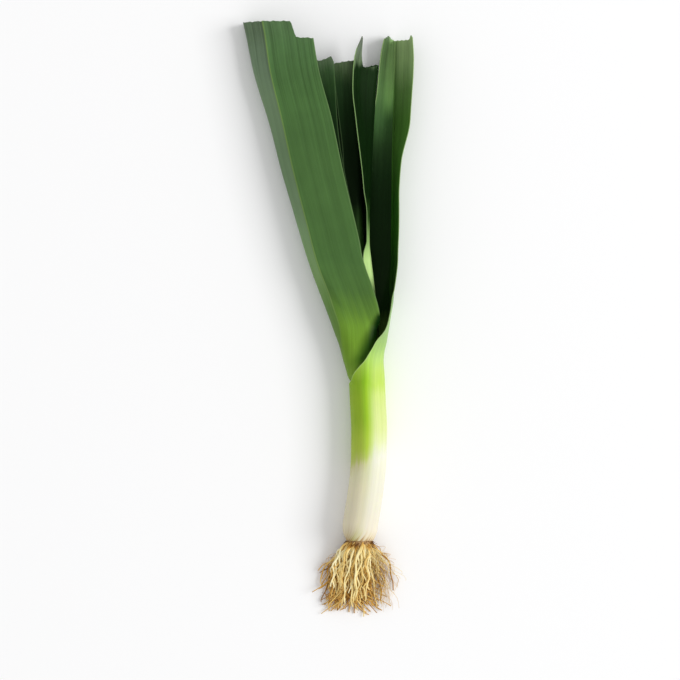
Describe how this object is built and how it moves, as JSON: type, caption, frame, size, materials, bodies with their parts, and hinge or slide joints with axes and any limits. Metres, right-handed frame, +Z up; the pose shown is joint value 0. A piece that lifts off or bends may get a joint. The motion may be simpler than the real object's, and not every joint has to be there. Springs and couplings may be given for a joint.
{
  "type": "leek",
  "caption": "Whole harvested leek lying on its side: white shaft of nested leaf sheaths, trimmed green blades fanned out at one end and a tuft of string roots at the other.",
  "frame": {"origin": "middle of the underside of the box around the whole leek, on the surface it lies on", "axes": "+Y along the shaft from the roots to the blade tips, +Z up from the surface, +X to the right seen from above with the blades away from the viewer"},
  "size_m": [0.148, 0.5292, 0.034],
  "materials": {
    "leaf": "waxy leaf, satin, white on the shaft to blue-green on the blade",
    "root": "dry straw-coloured root string, matte"
  },
  "bodies": {
    "root": {"outer_leaf": "leaf", "broad_leaf": "leaf", "third_leaf": "leaf", "fourth_leaf": "leaf", "fifth_leaf": "leaf", "heart_leaf": "leaf", "roots": "root"}
  },
  "joints": []
}
